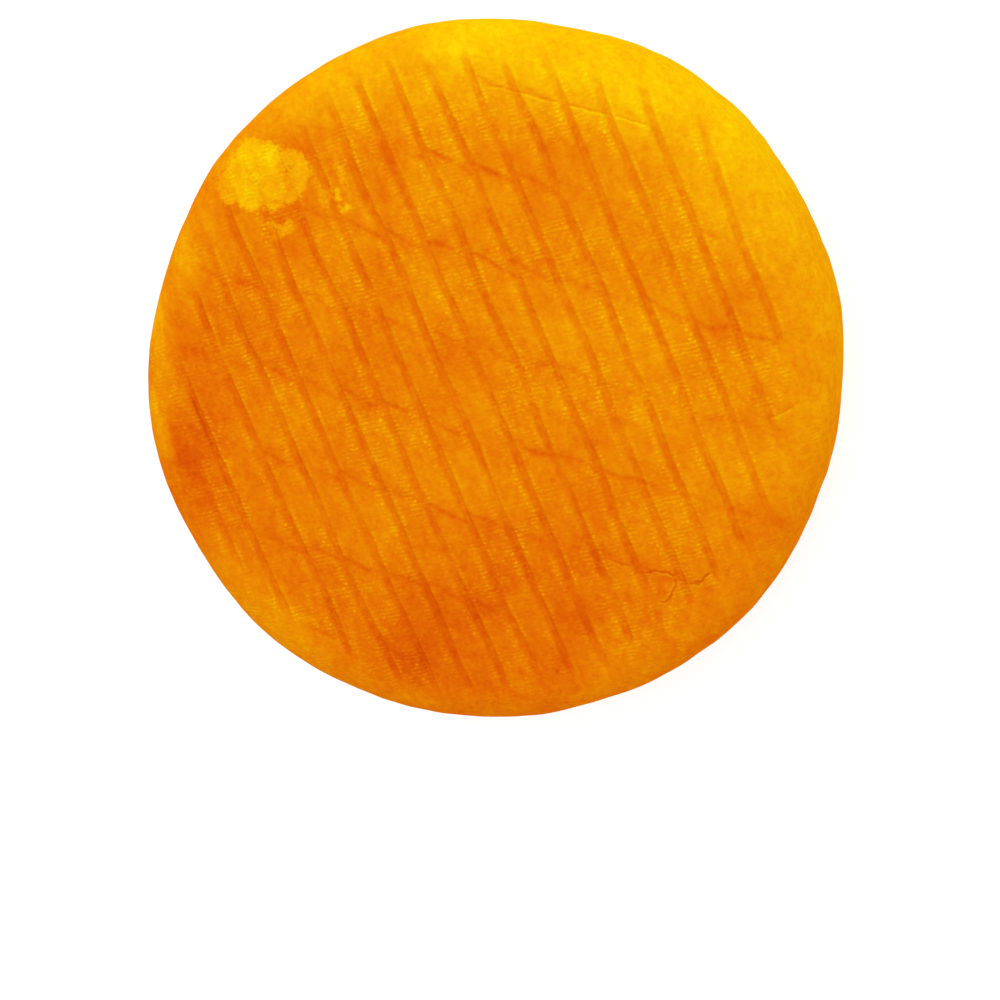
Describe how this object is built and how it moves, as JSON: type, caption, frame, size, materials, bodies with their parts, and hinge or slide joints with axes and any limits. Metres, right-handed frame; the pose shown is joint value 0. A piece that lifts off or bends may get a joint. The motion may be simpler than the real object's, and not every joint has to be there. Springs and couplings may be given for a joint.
{
  "type": "wheel of saint-paulin cheese",
  "caption": "Flat round wheel of semi-soft washed-rind cheese: bright orange rind, rounded shoulders, bulging side and rack marks that cross on both faces.",
  "frame": {"origin": "middle of the wheel's box at its lower face, where it rests", "axes": "+Z up along the wheel's axis, towards the face with the shown marks; the long marks run 22.6 degrees from +Y towards -X; +X is to the right and +Y is up in the picture"},
  "size_m": [0.199, 0.198, 0.0456],
  "materials": {
    "rind": "waxy orange washed rind, mottled yellow to deep orange, satin"
  },
  "bodies": {
    "root": {"wheel": "rind"}
  },
  "joints": []
}
